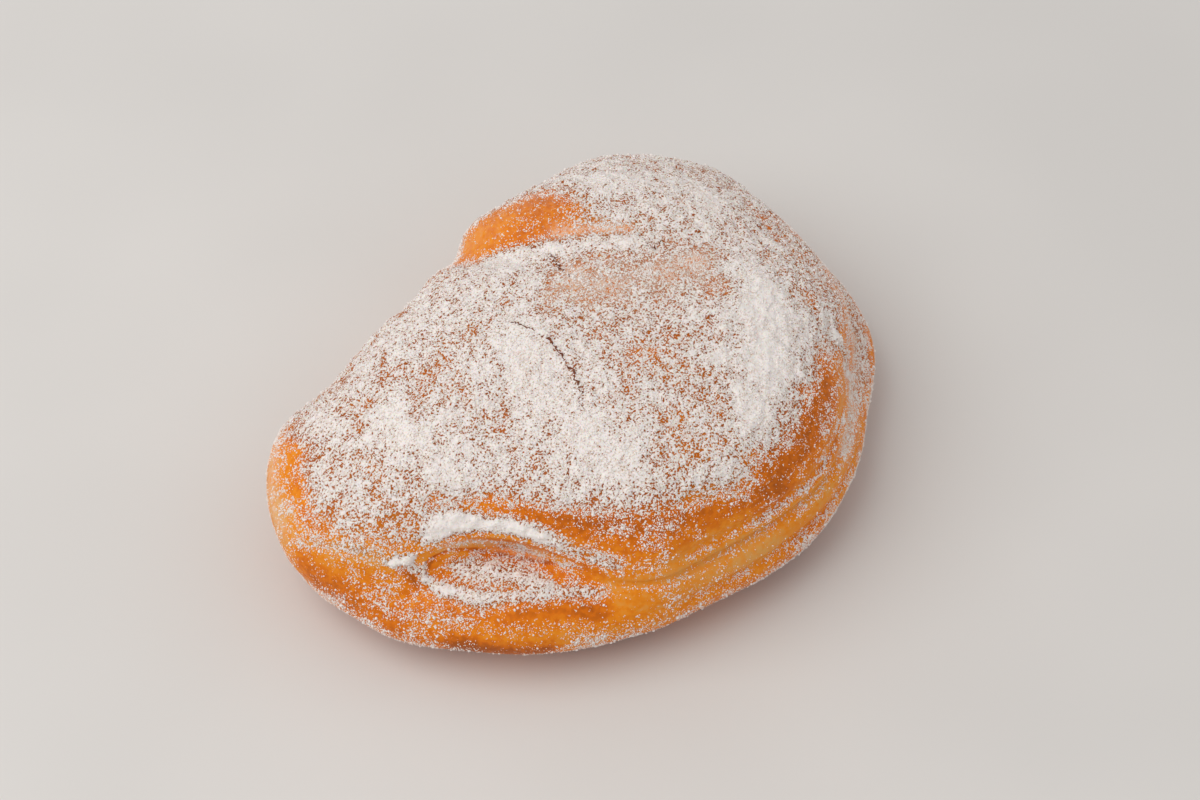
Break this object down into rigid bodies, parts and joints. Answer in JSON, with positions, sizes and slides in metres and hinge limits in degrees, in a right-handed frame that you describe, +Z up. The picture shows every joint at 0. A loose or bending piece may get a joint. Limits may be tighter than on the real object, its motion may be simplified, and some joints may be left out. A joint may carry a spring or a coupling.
{
  "type": "panzerotto",
  "caption": "Sweet fried turnover of folded dough, half-moon in plan, with a crown, a valley on the fold side and a gaping seam, dusted with icing sugar.",
  "frame": {"origin": "centre of the bounding box's bottom face, on the surface that the panzerotto rests on", "axes": "+X along its length, from the blunt nose at the gaping mouth to the far end; +Y towards the folded side; +Z up"},
  "size_m": [0.1454, 0.106, 0.0486],
  "materials": {
    "crust": "matt golden-brown fried crust, paler along the side and browner underneath, dusted with icing sugar",
    "icing_sugar": "matt white powder, in a crumbly coat and loose grains"
  },
  "bodies": {
    "root": {"dough": "crust"}
  },
  "joints": []
}
